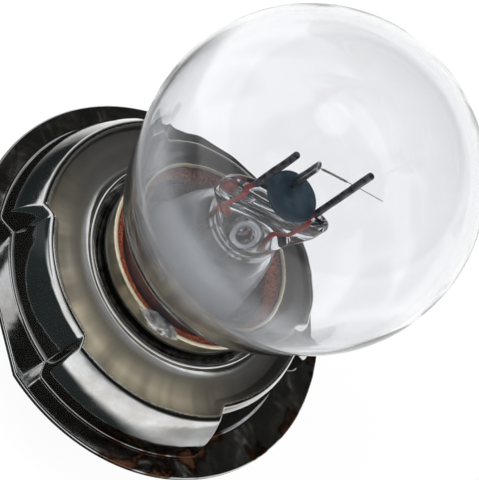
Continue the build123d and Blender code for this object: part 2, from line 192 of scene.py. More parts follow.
class Signal:
    """A socket that expressions can be written with; each operator adds a Math node."""

    def __init__(self, recipe, socket):
        self.recipe, self.socket = recipe, socket

    def math(self, operation, *values):
        sockets = dict(enumerate(values))
        return self.recipe.node("Math", {"operation": operation}, sockets)

    def __add__(self, other):
        return self.math("ADD", self, other)

    def __sub__(self, other):
        return self.math("SUBTRACT", self, other)

    def __rsub__(self, other):
        return self.math("SUBTRACT", other, self)

    def __mul__(self, other):
        return self.math("MULTIPLY", self, other)

    def capped(self):
        """The signal, at most 1."""
        return self.math("MINIMUM", self, 1.0)

    __radd__ = __add__
    __rmul__ = __mul__


class Recipe:
    """One material or the world, made node by node."""

    def __init__(self, name, kept_in=bpy.data.materials):
        self.made = kept_in.new(name)
        self.made.use_nodes = True
        self.tree = self.made.node_tree
        self.tree.nodes.clear()

    def node(self, kind, settings=None, sockets=None, outlet=0):
        made = self.tree.nodes.new("ShaderNode" + kind)
        for key, value in (settings or {}).items():
            if key == "stops":
                ramp = made.color_ramp
                while len(ramp.elements) < len(value):
                    ramp.elements.new(0.5)
                for element, (place, colour) in zip(ramp.elements, value):
                    element.position, element.color = place, (*colour, 1)
            else:
                setattr(made, key, value)
        for key, value in (sockets or {}).items():
            if isinstance(value, Signal):
                self.tree.links.new(value.socket, made.inputs[key])
            else:
                made.inputs[key].default_value = value
        return Signal(self, made.outputs[outlet]) if len(made.outputs) else None

    def place(self):
        """Object coordinates in millimetres."""
        here = self.node("TexCoord", outlet="Object")
        return self.node("VectorMath", {"operation": "SCALE"}, {0: here, "Scale": 1 / MM})

    def measure(self, operation, *vectors):
        """A number worked out from vectors, such as a length or a distance."""
        return self.node("VectorMath", {"operation": operation}, dict(enumerate(vectors)), "Value")

    def height(self, where):
        return self.node("SeparateXYZ", {}, {0: where}, "Z")

    def noise(self, scale, detail=2.0, roughness=0.5, warp=0.0, where=None):
        sockets = {"Vector": where or self.place(), "Scale": scale, "Detail": detail,
                   "Roughness": roughness, "Distortion": warp}
        return self.node("TexNoise", {}, sockets)

    def steps(self, signal, low, high, to_low=0.0, to_high=1.0):
        """The signal's stretch from low to high, smoothly mapped to new limits."""
        sockets = {"Value": signal, "From Min": low, "From Max": high, "To Min": to_low,
                   "To Max": to_high}
        return self.node("MapRange", {"interpolation_type": "SMOOTHSTEP"}, sockets)

    def mix(self, factor, one, other):
        """Colour between one and other."""
        sockets = {0: factor, 6: one if isinstance(one, Signal) else (*one, 1),
                   7: other if isinstance(other, Signal) else (*other, 1)}
        return self.node("Mix", {"data_type": "RGBA"}, sockets, 2)

    def bump(self, height, depth, strength=1.0, under=None):
        sockets = {"Height": height, "Distance": depth * MM, "Strength": strength}
        if under:
            sockets["Normal"] = under
        return self.node("Bump", {}, sockets)

    def finish(self, sockets, film=None, cover=0.0):
        """The material, with a Principled shader of these sockets and a film over it if given."""
        surface = self.node("BsdfPrincipled", {}, sockets)
        if film:
            surface = self.node("MixShader", {}, {0: cover, 1: surface, 2: film})
        self.node("OutputMaterial", {}, {"Surface": surface})
        return self.made


def plated(name, bright, stain, stain_amount, shine, dull=0.0, crown_height=99.0):
    """Bright nickel plate with stains and turning marks, a dull face and a pale crown; the face has
    painted shade on its far side and a painted sheen on its near side.
    """
    recipe = Recipe(name)
    where = recipe.place()
    height = recipe.height(where)
    level = recipe.node("VectorMath", {"operation": "MULTIPLY"}, {0: where, 1: (1, 1, 0)})
    outwards = recipe.node("VectorMath", {"operation": "NORMALIZE"}, {0: level})
    radius = recipe.measure("LENGTH", level)
    towards_painted_light = recipe.measure("DOT_PRODUCT", where, PAINTED_LIGHT_SIDE)
    stained_side = recipe.measure("DOT_PRODUCT", where, STAINED_SIDE)
    cloud = recipe.noise(0.16, 4.0, 0.6, 0.6, where)
    patch = recipe.noise(0.55, 5.0, 0.65, 0.3, where)
    speck = recipe.noise(2.4, 2.0, 0.7, 0.0, where)
    spoke = recipe.noise(2.6, 3.0, 0.6, 0.0, outwards)

    # where each kind of wear lies, and where shade and sheen are painted
    stained = recipe.steps(cloud * 0.6 + patch * 0.4, 0.42, 0.62) * stain_amount
    satin = recipe.node("Attribute", {"attribute_name": "satin"}, {}, "Fac")
    face = satin * recipe.steps(radius, 8.0, 8.4)
    # painted sheen: a band of painted highlight in radial streaks across the middle of the trough, fading
    # to painted shade towards the collar and the ridge
    painted_sheen = recipe.steps(spoke, 0.36, 0.62)
    painted_sheen = painted_sheen * recipe.steps(radius, 8.2, 9.8) * recipe.steps(radius, 12.2, 10.8)
    # painted light: the face is lighter towards one side and darker, as painted shade, on the far side
    painted_lit = recipe.steps(towards_painted_light + cloud * 5.0, 2.5, 11.0)
    foot = recipe.steps(height, 0.9, 0.5) * recipe.steps(radius, 11.0, 11.6)
    brown = recipe.steps(cloud, 0.44, 0.62) * recipe.steps(stained_side, 3.0, 9.0) * foot
    crown = recipe.steps(height, crown_height - 0.25, crown_height - 0.05)

    # the face's colour: dark painted shade on the far side, varied in patches, and the painted sheen on
    # the near side
    satin_colour = recipe.mix(painted_lit, recipe.mix(patch, *PAINTED_SHADE_PATCHES), recipe.mix(painted_sheen, *PAINTED_SHEEN))
    colour = recipe.mix(stained, bright, stain)
    colour = recipe.mix(face * dull, colour, satin_colour)
    colour = recipe.mix(recipe.steps(speck, 0.7, 0.78) * 0.25, colour, SPECK)
    colour = recipe.mix(recipe.steps(brown, 0.0, 0.5), colour, BROWN_STAIN)
    colour = recipe.mix(crown, colour, PALE_CROWN)
    metal = 1 - face * (dull * 0.3) - crown * 0.5 - recipe.steps(brown, 0.4, 1.0) * 0.25
    rough = shine + recipe.steps(patch, 0.35, 0.75) * 0.07 + stained * 0.05
    rough = rough + face * (dull * 0.3) + crown * 0.2 + brown * 0.1

    turned = recipe.node("TexNoise", {"noise_dimensions": "1D"},
                         {"W": radius * 1.2 + height * 0.8, "Scale": 2.0, "Detail": 1.0})
    ripples = recipe.bump(recipe.noise(0.35, 2.0, 0.5, 0.4, where), 0.05)
    marks = recipe.bump(turned, 0.0015, 1.0, ripples)
    return recipe.finish({"Base Color": colour, "Metallic": metal, "Roughness": rough, "Normal": marks})


def clear_glass(name, tint, thick_tint, waviness, painted_reflection=None, reflection_colour=(0.85, 0.88, 0.93), eye=None):
    """Clear glass with the slow waves of its wall; it can have a pale film as a painted reflection, and
    round an eye painted shade and a painted reflection on the lip.
    """
    recipe = Recipe(name)
    where = recipe.place()
    waves = recipe.bump(recipe.noise(0.12, 2.0, 0.45, 0.5, where), waviness)
    smear = recipe.noise(0.3, 3.0, 0.5, 0.5, where)
    shade = recipe.mix(smear, tint, thick_tint)
    if eye:
        off = recipe.measure("DISTANCE", where, eye)
        # painted shade: dark in the hole and in a line round the lip's edge
        ring = recipe.steps(off, 1.1, 1.3) * recipe.steps(off, 1.6, 1.4)
        shade = recipe.mix(recipe.steps(off, 0.8, 0.5), shade, EYE_PAINTED_SHADE)
        shade = recipe.mix(ring, shade, EYE_RING_PAINTED_SHADE)
    glass = {"Base Color": shade, "Roughness": 0.0, "Transmission Weight": 1.0, "IOR": 1.5,
             "Normal": waves}
    if not painted_reflection:
        return recipe.finish(glass)
    start, full, end, fading, amount, one_side = painted_reflection
    # pale film over the glass, a painted reflection of the surroundings, laid by height and, if asked, on
    # the side of the painted light alone
    film_height = recipe.height(where) + smear * 1.5
    cover = recipe.steps(film_height, start, full) * recipe.steps(film_height, end, fading) * amount
    if one_side:
        cover = cover * recipe.steps(recipe.measure("DOT_PRODUCT", where, PAINTED_LIGHT_SIDE), 3.0, 9.0)
    if eye:
        # a pale ring of film on the lip, a painted reflection
        cover = cover + recipe.steps(off, 0.75, 0.9) * recipe.steps(off, 1.2, 1.05) * 0.45
    film_colour = recipe.mix(smear, tuple(part * 0.85 for part in reflection_colour), reflection_colour)
    film = recipe.node("BsdfPrincipled", {}, {"Base Color": film_colour, "Roughness": 0.6})
    return recipe.finish(glass, film, cover)


def wire_metal(name, colour, dark, rough):
    """Drawn wire: lengthwise die lines and darker oxide patches."""
    recipe = Recipe(name)
    where = recipe.place()
    drawn = recipe.node("VectorMath", {"operation": "MULTIPLY"}, {0: where, 1: (6, 6, 0.4)})
    lines = recipe.noise(1.0, 3.0, 0.6, 0.0, drawn)
    oxide = recipe.noise(1.6, 3.0, 0.6, 0.2, where)
    shade = recipe.mix(recipe.steps(oxide, 0.4, 0.65), colour, dark)
    relief = recipe.bump(lines, 0.01)
    return recipe.finish({"Base Color": shade, "Metallic": 0.9, "Roughness": rough + lines * 0.12,
                          "Normal": relief})


def shield_metal():
    """Smooth blue-grey dish with a soft heat tint in clouds over it."""
    recipe = Recipe("shield_blue_grey")
    where = recipe.place()
    clouds = recipe.noise(0.5, 2.0, 0.5, 0.3, where)
    shade = recipe.mix(recipe.steps(clouds, 0.35, 0.65), (0.04, 0.075, 0.105), (0.1, 0.15, 0.19))
    relief = recipe.bump(recipe.noise(1.2, 2.0, 0.5, 0.0, where), 0.01)
    return recipe.finish({"Base Color": shade, "Metallic": 0.4, "Roughness": 0.38 + clouds * 0.1,
                          "Normal": relief})


def copper_clad():
    """Red oxidised copper skin of the seal wires."""
    recipe = Recipe("seal_wire_red")
    shade = recipe.mix(recipe.noise(1.4, 3.0, 0.6), (0.86, 0.16, 0.14), (0.55, 0.05, 0.06))
    relief = recipe.bump(recipe.noise(6.0, 2.0), 0.01)
    return recipe.finish({"Base Color": shade, "Metallic": 0.2, "Roughness": 0.35, "Normal": relief})


def basing_cement():
    """Red-brown cement with pale and dark grains."""
    recipe = Recipe("cement_red_brown")
    where = recipe.place()
    cells = recipe.node("TexVoronoi", {}, {"Vector": where, "Scale": 4.5}, "Distance")
    grain = recipe.noise(5.5, 4.0, 0.7, 0.0, where)
    clumps = recipe.noise(1.1, 2.0, 0.6, 0.0, where)
    shade = recipe.mix(recipe.steps(grain, 0.35, 0.65), (0.2, 0.03, 0.015), (0.7, 0.19, 0.1))
    pale = recipe.steps(cells, 0.34, 0.14) * recipe.steps(clumps, 0.35, 0.6) * 0.8
    shade = recipe.mix(pale, shade, (0.72, 0.5, 0.36))
    relief = recipe.bump(grain - cells, 0.12)
    return recipe.finish({"Base Color": shade, "Roughness": 0.45 + grain * 0.3, "Normal": relief})


def soft_solder():
    """Grey soft solder, lumpy and half dull."""
    recipe = Recipe("solder_grey")
    where = recipe.place()
    lumps = recipe.noise(1.5, 3.0, 0.6, 0.4, where)
    shade = recipe.mix(recipe.steps(lumps, 0.35, 0.6), (0.3, 0.3, 0.29), (0.8, 0.8, 0.78))
    relief = recipe.bump(recipe.noise(2.6, 3.0, 0.6, 0.3, where), 0.1)
    return recipe.finish({"Base Color": shade, "Metallic": 0.9, "Roughness": 0.22 + lumps * 0.25,
                          "Normal": relief})


def black_glass():
    """Black moulded glass of the foot."""
    recipe = Recipe("insulator_black")
    where = recipe.place()
    cords = recipe.noise(0.8, 3.0, 0.55, 0.6, where)
    shade = recipe.mix(cords, (0.008, 0.008, 0.01), (0.03, 0.03, 0.035))
    relief = recipe.bump(cords, 0.05)
    return recipe.finish({"Base Color": shade, "Roughness": 0.08 + cords * 0.15, "Normal": relief})


def plain_brass():
    """Plain brass of the foot contact, slightly tarnished."""
    recipe = Recipe("contact_brass")
    where = recipe.place()
    tarnish = recipe.noise(0.9, 4.0, 0.6, 0.3, where)
    shade = recipe.mix(recipe.steps(tarnish, 0.4, 0.7), (0.72, 0.55, 0.28), (0.35, 0.24, 0.12))
    relief = recipe.bump(recipe.noise(8.0, 2.0, 0.5, 0.0, where), 0.01)
    return recipe.finish({"Base Color": shade, "Metallic": 1.0, "Roughness": 0.2 + tarnish * 0.25,
                          "Normal": relief})


def shaded_smooth(mesh):
    mesh.polygons.foreach_set("use_smooth", [True] * len(mesh.polygons))


def put_in_scene(name, data):
    """A new object with this mesh, lamp or camera."""
    made = bpy.data.objects.new(name, data)
    bpy.context.scene.collection.objects.link(made)
    return made


def mesh_piece(name, points, faces, material):
    """A piece from points in millimetres and faces, shaded smooth."""
    mesh = bpy.data.meshes.new(name)
    mesh.from_pydata([Vector(point) * MM for point in points], [], faces)
    shaded_smooth(mesh)
    mesh.materials.append(material)
    mesh.update()
    return put_in_scene(name, mesh)


def towards(turn, height):
    """Direction at a turn about the lamp and a height above level, in degrees."""
    turn, height = radians(turn), radians(height)
    return Vector((cos(height) * cos(turn), cos(height) * sin(turn), sin(height)))


def set_along(place, direction):
    """Matrix that moves to a place and turns what is upright to a direction."""
    return Matrix.Translation(place) @ direction.to_track_quat("Z", "Y").to_matrix().to_4x4()


def arc(centre, radius, start, end, count):
    """Points of an arc in a half section; angles in degrees from the outward direction."""
    turns = [radians(start + (end - start) * step / count) for step in range(count + 1)]
    return [(centre[0] + radius * cos(turn), centre[1] + radius * sin(turn)) for turn in turns]


def arc_through(start, middle, end, count):
    """Points of the arc through three points of a half section."""
    (ax, ay), (bx, by), (cx, cy) = start, middle, end
    a2, b2, c2 = ax * ax + ay * ay, bx * bx + by * by, cx * cx + cy * cy
    d = 2 * (ax * (by - cy) + bx * (cy - ay) + cx * (ay - by))
    ux = (a2 * (by - cy) + b2 * (cy - ay) + c2 * (ay - by)) / d
    uy = (a2 * (cx - bx) + b2 * (ax - cx) + c2 * (bx - ax)) / d
    first, last = atan2(ay - uy, ax - ux), atan2(cy - uy, cx - ux)
    radius = hypot(ax - ux, ay - uy)
    turns = [first + (last - first) * step / count for step in range(count + 1)]
    return [(ux + radius * cos(turn), uy + radius * sin(turn)) for turn in turns]


def straight(start, end, count):
    """Evenly spaced points from start to end."""
    return [tuple(a + (b - a) * step / count for a, b in zip(start, end)) for step in range(count + 1)]


def joined(*runs):
    """Runs of points as one line, without the doubled ends."""
    line = []
    for run in runs:
        for point in run:
            if not line or hypot(point[0] - line[-1][0], point[1] - line[-1][1]) > 1e-6:
                line.append(point)
    return line


def skin(columns, size, closed=True):
    """Faces between neighbouring half sections of this many points, all the way round."""
    faces = []
    for column in range(columns):
        here, there = column * size, (column + 1) % columns * size
        for number in range(size if closed else size - 1):
            after = (number + 1) % size
            faces.append((here + number, there + number, there + after, here + after))
    return faces


def lathe(name, section, count, material, closed=True):
    """A ring-shaped piece turned from a half section; a closed section gives a tube-like skin."""
    points = []
    for step in range(count):
        turn = 2 * pi * step / count
        points += [(radius * cos(turn), radius * sin(turn), height) for radius, height in section]
    piece = mesh_piece(name, points, skin(count, len(section), closed), material)
    close_poles(piece)
    return piece


def close_poles(piece):
    """Merges the doubled points on the axis and turns every face outwards."""
    shape = bmesh.new()
    shape.from_mesh(piece.data)
    bmesh.ops.remove_doubles(shape, verts=shape.verts, dist=1e-7)
    bmesh.ops.dissolve_degenerate(shape, edges=shape.edges, dist=1e-8)
    bmesh.ops.recalc_face_normals(shape, faces=shape.faces)
    shape.to_mesh(piece.data)
    shape.free()
    shaded_smooth(piece.data)


def bulb_side(inset, count):
    """Outline of the blown bulb from its neck's foot to its crown."""
    radius, neck = GLOBE_RADIUS - inset, NECK_RADIUS - inset
    lean = radians(CONE_ANGLE)
    cone_end = (radius * cos(lean), GLOBE_CENTRE - radius * sin(lean))
    waist = (WAIST[0] - inset, WAIST[1] + inset / 3)
    neck_part = straight((neck, NECK_BOTTOM), (neck, NECK_TOP), 8)
    shoulder = curve_through([(neck, NECK_TOP), waist, cone_end], (0, 1), (sin(lean), cos(lean)), count)
    dome = arc((0, GLOBE_CENTRE), radius, -CONE_ANGLE, 90, 2 * count)
    return joined(neck_part, shoulder, dome)


def curve_through(knots, first, last, count):
    """Smooth line through the knots, with these directions at its ends."""
    spans = [hypot(b[0] - a[0], b[1] - a[1]) for a, b in zip(knots, knots[1:])]
    # the inner slope that makes the bend even on both sides, as in a natural spline
    t0, t1 = spans
    slopes = [first, None, last]
    middle = []
    for axis in (0, 1):
        d0 = (knots[1][axis] - knots[0][axis]) / t0
        d1 = (knots[2][axis] - knots[1][axis]) / t1
        right = 3 * (d0 / t0 + d1 / t1) - first[axis] / t0 - last[axis] / t1
        middle.append(right / (2 / t0 + 2 / t1))
    slopes[1] = tuple(middle)
    line = []
    for (a, b), (m, n), span in zip(zip(knots, knots[1:]), zip(slopes, slopes[1:]), spans):
        for step in range(count + 1):
            t = step / count
            h00, h10 = 2 * t ** 3 - 3 * t ** 2 + 1, t ** 3 - 2 * t ** 2 + t
            h01, h11 = 3 * t ** 2 - 2 * t ** 3, t ** 3 - t ** 2
            weights = (h00, h10 * span, h01, h11 * span)
            line.append(tuple(sum(weight * value for weight, value in zip(weights, values))
                              for values in zip(a, m, b, n)))
    return line


def bent(start, first, last, length, count):
    """Line that leaves a point and turns evenly inwards; slopes in degrees from upright."""
    line = [start]
    for step in range(count):
        slope = radians(first + (last - first) * (step + 0.5) / count)
        radius, height = line[-1]
        line.append((radius - sin(slope) * length / count, height + cos(slope) * length / count))
    return line


def ring_sections():
    """Half sections of the pressed ring: through a plain stretch and through a recess."""
    sections = []
    trough = arc_through((TROUGH_OUTER, RIM_HEIGHT), TROUGH_VALLEY, (COLLAR_RADIUS, COLLAR_FOOT), 90)
    for foot, bends, (lip_slope, face_gap) in (
        (WALL_FOOT, PLAIN_BENDS, PLAIN_LIP),
        (WALL_FOOT - RECESS_STEP, RECESS_BENDS, RECESS_LIP),
    ):
        outer = [(foot, SHEET)]
        for bend in bends:
            outer += bent(outer[-1], *bend)[1:]
        stretch = (RIM_HEIGHT - SHEET) / (outer[-1][1] - SHEET)
        outer = [(radius, SHEET + (height - SHEET) * stretch) for radius, height in outer]
        crest = outer[-1]
        lip = bent(crest, 90, lip_slope, LIP_LENGTH, 4)
        face = joined(lip, [point for point in trough if point[0] < lip[-1][0] - face_gap])
        under = [(radius, height - SHEET) for radius, height in reversed(face)
                 if COLLAR_RADIUS + 0.1 < radius < crest[0] - SHEET]
        back = joined([(COLLAR_RADIUS, COLLAR_BOTTOM)], under,
                      [(crest[0] - 0.1, RIM_HEIGHT - SHEET), (foot - SHEET, 0)])
        split = len(bent((0, 0), *bends[0]))
        sections.append({"wall": outer[:split], "rim": outer[split - 1:], "face": face, "back": back,
                         "foot": foot})
    return sections


def evenly(line, count):
    """The line with this many points, evenly spaced along it."""
    lengths = [0.0]
    for a, b in zip(line, line[1:]):
        lengths.append(lengths[-1] + hypot(b[0] - a[0], b[1] - a[1]))
    spaced, place = [], 0
    for step in range(count):
        goal = lengths[-1] * step / (count - 1)
        while place < len(lengths) - 2 and lengths[place + 1] < goal:
            place += 1
        share = (goal - lengths[place]) / max(lengths[place + 1] - lengths[place], 1e-9)
        a, b = line[place], line[place + 1]
        spaced.append((a[0] + (b[0] - a[0]) * share, a[1] + (b[1] - a[1]) * share))
    return spaced


def between(one, other, share):
    """The points this share of the way from one line to the other."""
    return [(a[0] + (b[0] - a[0]) * share, a[1] + (b[1] - a[1]) * share) for a, b in zip(one, other)]


def recess_share(turn):
    """0 on a plain stretch of the ring's wall, 1 in a recess, with a rounded step between."""
    nearest = min(abs((turn - middle + 180) % 360 - 180) for middle in RECESS_MIDDLES)
    share = (RECESS_SPAN / 2 + RECESS_EASE - nearest) / (2 * RECESS_EASE)
    share = min(max(share, 0.0), 1.0)
    return share * share * (3 - 2 * share)


def ring_turns():
    """Turns of the ring's sections: every degree, the flat's corners, and finer at recess ends."""
    flat_corner = degrees(acos(FLAT_DISTANCE / FLANGE_RADIUS))
    turns = set(range(360)) | {FLAT_TURN - flat_corner, FLAT_TURN + flat_corner}
    for middle in RECESS_MIDDLES:
        for end in (middle - RECESS_SPAN / 2, middle + RECESS_SPAN / 2):
            turns |= {(end + step * FINE_TURN) % 360 for step in range(-FINE_STEPS, FINE_STEPS + 1)}
    return sorted(turns)


def pressed_ring(material):
    """The focusing ring as one smooth sheet: flange, rounded foot, wall, rim, face and collar."""
    plain, recess = ring_sections()
    counts = {"wall": 34, "rim": 20, "face": 48, "back": 24}
    evened = {part: (evenly(plain[part], count), evenly(recess[part], count))
              for part, count in counts.items()}
    rounded_away = 3
    bevel = bent((COLLAR_RADIUS, COLLAR_HEIGHT - COLLAR_BEVEL), *COLLAR_BENDS[0])
    round_over = bent(bevel[-1], *COLLAR_BENDS[1])
    collar = joined(
        straight((COLLAR_RADIUS, COLLAR_FOOT), bevel[0], 3),
        bevel,
        round_over,
        straight(round_over[-1], (COLLAR_BORE, COLLAR_BOTTOM), 6),
    )
    turns = ring_turns()
    points = []
    for turn in turns:
        share = recess_share(turn)
        edge = FLANGE_RADIUS
        if -sin(radians(turn)) * FLANGE_RADIUS > FLAT_DISTANCE:
            edge = FLAT_DISTANCE / -sin(radians(turn))
        foot = plain["foot"] + (recess["foot"] - plain["foot"]) * share
        section = [(edge + out, height) for out, height in FLANGE_EDGE]
        section += evenly([(edge - FLANGE_EDGE_WIDTH, SHEET), (foot + FOOT_ROUND + FOOT_GAP, SHEET)], 6)
        section += arc((foot + FOOT_ROUND, SHEET + FOOT_ROUND), FOOT_ROUND, 270, 190, 5)
        section += between(*evened["wall"], share)[rounded_away:]
        section += between(*evened["rim"], share)
        face_start = len(section)
        section += between(*evened["face"], share)
        section += collar
        section += between(*evened["back"], share)
        points += [(r * cos(radians(turn)), r * sin(radians(turn)), z) for r, z in section]
    size = len(points) // len(turns)
    ring = mesh_piece("pressed_ring", points, skin(len(turns), size), material)
    satin = ring.data.attributes.new("satin", "FLOAT", "POINT")
    face_places = range(face_start, face_start + counts["face"] - 1)
    for number in range(len(points)):
        satin.data[number].value = float(number % size in face_places)
    close_poles(ring)
    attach(ring, "root")
    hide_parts("prefocus_ring")
    return ring


def blown_bulb(material):
    """The bulb's glass as one smooth shell, outside and inside."""
    outside = bulb_side(0.0, 24)
    inside = bulb_side(GLASS_WALL, 24)
    bulb = lathe("blown_bulb", joined(outside, reversed(inside)), 192, material)
    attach(bulb, "root")
    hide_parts("glass_bulb")
    return bulb


def on_press(along, height, front=0.0):
    """A point in the plane of the stem's press, and a distance in front of it."""
    turn = radians(PRESS_TURN)
    return Vector((along * cos(turn) + front * sin(turn), along * sin(turn) - front * cos(turn), height))


def press_loop(half_width, half_thickness, squareness, height, count=144):
    """Closed loop round the press, from a circle to a rounded slot."""
    loop = []
    for step in range(count):
        turn = 2 * pi * step / count
        across = abs(cos(turn)) ** (2 / squareness) * half_width
        deep = abs(sin(turn)) ** (2 / squareness) * half_thickness
        loop.append(on_press(across if cos(turn) > 0 else -across, height,
                             deep if sin(turn) > 0 else -deep))
    return loop


def settled(piece):
    """The piece's mesh as its modifiers leave it."""
    return bpy.data.meshes.new_from_object(piece.evaluated_get(bpy.context.evaluated_depsgraph_get()))


def cut_or_fused(piece, tool, operation):
    """Gives the piece its mesh after a boolean with the tool, which is used up."""
    change = piece.modifiers.new("shape", "BOOLEAN")
    change.operation, change.solver, change.object = operation, "EXACT", tool
    shaped = settled(piece)
    piece.modifiers.clear()
    piece.data = shaped
    bpy.data.objects.remove(tool)


def fused_stem(material):
    """The stem's glass: flare, domed press closed round the wires, and the exhaust hole's lip."""
    def flare(inset):
        foot, top = (NECK_RADIUS - inset, NECK_BOTTOM - inset), (STEM_RADIUS - inset, FLARE_HEIGHT)
        waist = (FLARE_WAIST[0] - inset, FLARE_WAIST[1])
        return curve_through([foot, waist, top], FLARE_FOOT_LEAN, FLARE_TOP_LEAN, 24)

    inside = [point for point in flare(FLARE_WALL) if point[1] < STEM_CROWN - 0.2]
    crown = arc((STEM_RADIUS - FLARE_WALL - CROWN_ROUND, STEM_CROWN - CROWN_ROUND), CROWN_ROUND,
                0, 90, 6)
    section = joined([(0.0, STEM_CROWN)], reversed(crown), reversed(inside),
                     [(NECK_RADIUS, NECK_BOTTOM - FLARE_WALL)], flare(0.0))
    loops = [press_loop(radius, radius, 2.0, height) for radius, height in section]
    for step in range(1, 13):
        share = step / 12
        eased = share * share * (3 - 2 * share)
        loops.append(press_loop(STEM_RADIUS + (PRESS_HALF_WIDTH - STEM_RADIUS) * eased,
                                STEM_RADIUS + (PRESS_HALF_THICKNESS - STEM_RADIUS) * eased,
                                2 + (PRESS_SQUARENESS - 2) * eased,
                                FLARE_HEIGHT + SHOULDER_RISE * share))
    for step in range(15):
        turn = radians(90 * step / 14)
        loops.append(press_loop(PRESS_HALF_WIDTH - PRESS_ROUND_ACROSS * (1 - cos(turn)),
                                PRESS_HALF_THICKNESS - PRESS_ROUND_DEEP * (1 - cos(turn)),
                                PRESS_SQUARENESS,
                                PRESS_TOP - PRESS_ROUND_DROP + PRESS_ROUND_UP * sin(turn)))
    crest = PRESS_TOP - PRESS_ROUND_DROP + PRESS_ROUND_UP
    for share in (0.8, 0.5, 0.2, 0.0):
        loops.append(press_loop((PRESS_HALF_WIDTH - PRESS_ROUND_ACROSS) * share,
                                (PRESS_HALF_THICKNESS - PRESS_ROUND_DEEP) * share,
                                PRESS_SQUARENESS, crest + PRESS_DOME * (1 - share)))
    size = len(loops[0])
    faces = [(ring * size + step, ring * size + (step + 1) % size, (ring + 1) * size + (step + 1) % size,
              (ring + 1) * size + step) for ring in range(len(loops) - 1) for step in range(size)]
    stem = mesh_piece("fused_stem", [point for loop in loops for point in loop], faces, material)
    close_poles(stem)

    outwards = on_press(0, sin(radians(EXHAUST_TILT)), cos(radians(EXHAUST_TILT)))
    placed = set_along(on_press(*EXHAUST_OUTLET) * MM, outwards)
    lip = lathe("lip", arc((EXHAUST_LIP_RADIUS, 0.0), EXHAUST_LIP_WIRE, 0, 360, 24)[:-1], 64, material)
    lip.data.transform(placed)
    cut_or_fused(stem, lip, "UNION")
    drill_top = [(0.0, EXHAUST_HOLE_TOP), (EXHAUST_HOLE_RADIUS, EXHAUST_HOLE_TOP)]
    drill_tip = arc((0.0, EXHAUST_HOLE_BOTTOM), EXHAUST_HOLE_RADIUS, 0, -90, 10)
    hole = lathe("hole", joined(drill_top, drill_tip), 48, material, closed=False)
    hole.data.transform(placed)
    cut_or_fused(stem, hole, "DIFFERENCE")
    shaded_smooth(stem.data)
    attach(stem, "root")
    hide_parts("glass_stem")
    return stem


def solder_smear(material):
    """The drop of solder smeared over the shell's rim and the side lead's end."""
    shape = bmesh.new()
    bmesh.ops.create_icosphere(shape, subdivisions=5, radius=1.0)
    for corner in shape.verts:
        x, y, z = corner.co
        lump = 1 + 0.22 * noise.noise(Vector((x * 2.4, y * 1.2, z * 1.2)) + Vector((3.1, 0, 0)))
        lump += 0.07 * noise.noise(Vector((x * 7.0, y * 3.0, z * 3.0)))
        turn = radians(SOLDER_TURN) + x * lump * SMEAR_HALF_LENGTH / SOLDER_RADIUS
        radius = SOLDER_RADIUS + y * lump * (SMEAR_HALF_WIDTH + SMEAR_TAPER * x)
        height = SOLDER_HEIGHT + z * lump * SMEAR_HALF_HEIGHT
        corner.co = Vector((radius * cos(turn), radius * sin(turn), height)) * MM
    mesh = bpy.data.meshes.new("solder_smear")
    shape.to_mesh(mesh)
    shape.free()
    shaded_smooth(mesh)
    mesh.materials.append(material)
    smear = put_in_scene("solder_smear", mesh)
    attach(smear, "root")
    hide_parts("rim_solder")
    return smear


def coil_tree():
    """Geometry Nodes for a coiled filament wire along Z with a straight leg at each end."""
    tree = bpy.data.node_groups.new("coiled_filament", "GeometryNodeTree")
    inputs = {}
    for name in ("Coil length", "Coil radius", "Wire radius", "Turns", "First leg", "Last leg", "Finish"):
        kind = "NodeSocketMaterial" if name == "Finish" else "NodeSocketFloat"
        made = tree.interface.new_socket(name, in_out="INPUT", socket_type=kind)
        inputs[name] = made.identifier
    tree.interface.new_socket("Geometry", in_out="OUTPUT", socket_type="NodeSocketGeometry")
    given = tree.nodes.new("NodeGroupInput")

    def node(kind, **links):
        made = tree.nodes.new(kind)
        for key, value in links.items():
            socket = made.inputs[key.replace("_", " ")]
            if isinstance(value, bpy.types.NodeSocket):
                tree.links.new(value, socket)
            else:
                socket.default_value = value
        return made

    def upright(height):
        return node("ShaderNodeCombineXYZ", Z=height).outputs[0]

    profile = node("GeometryNodeCurvePrimitiveCircle", Resolution=8, Radius=given.outputs["Wire radius"])
    coil = node("GeometryNodeCurveSpiral", Resolution=16, Rotations=given.outputs["Turns"],
                Start_Radius=given.outputs["Coil radius"], End_Radius=given.outputs["Coil radius"],
                Height=given.outputs["Coil length"])
    first = node("GeometryNodeCurvePrimitiveLine", Start=upright(0.0),
                 End=upright(given.outputs["First leg"]))
    last = node("GeometryNodeCurvePrimitiveLine", Start=upright(0.0),
                End=upright(given.outputs["Last leg"]))
    down = node("ShaderNodeMath")
    down.operation = "MULTIPLY"
    tree.links.new(given.outputs["First leg"], down.inputs[0])
    down.inputs[1].default_value = -1.0
    start = node("GeometryNodeTransform", Geometry=first.outputs[0], Translation=upright(down.outputs[0]))
    end = node("GeometryNodeTransform", Geometry=last.outputs[0],
               Translation=upright(given.outputs["Coil length"]))
    runs = node("GeometryNodeJoinGeometry")
    for run in (coil.outputs[0], start.outputs[0], end.outputs[0]):
        tree.links.new(run, runs.inputs[0])
    wire = node("GeometryNodeCurveToMesh", Curve=runs.outputs[0], Profile_Curve=profile.outputs[0],
                Fill_Caps=True)
    plain = node("GeometryNodeRealizeInstances", Geometry=wire.outputs[0])
    smooth = node("GeometryNodeSetShadeSmooth", Geometry=plain.outputs[0])
    dressed = node("GeometryNodeSetMaterial", Geometry=smooth.outputs[0],
                   Material=given.outputs["Finish"])
    out = tree.nodes.new("NodeGroupOutput")
    tree.links.new(dressed.outputs[0], out.inputs[0])
    return tree, inputs


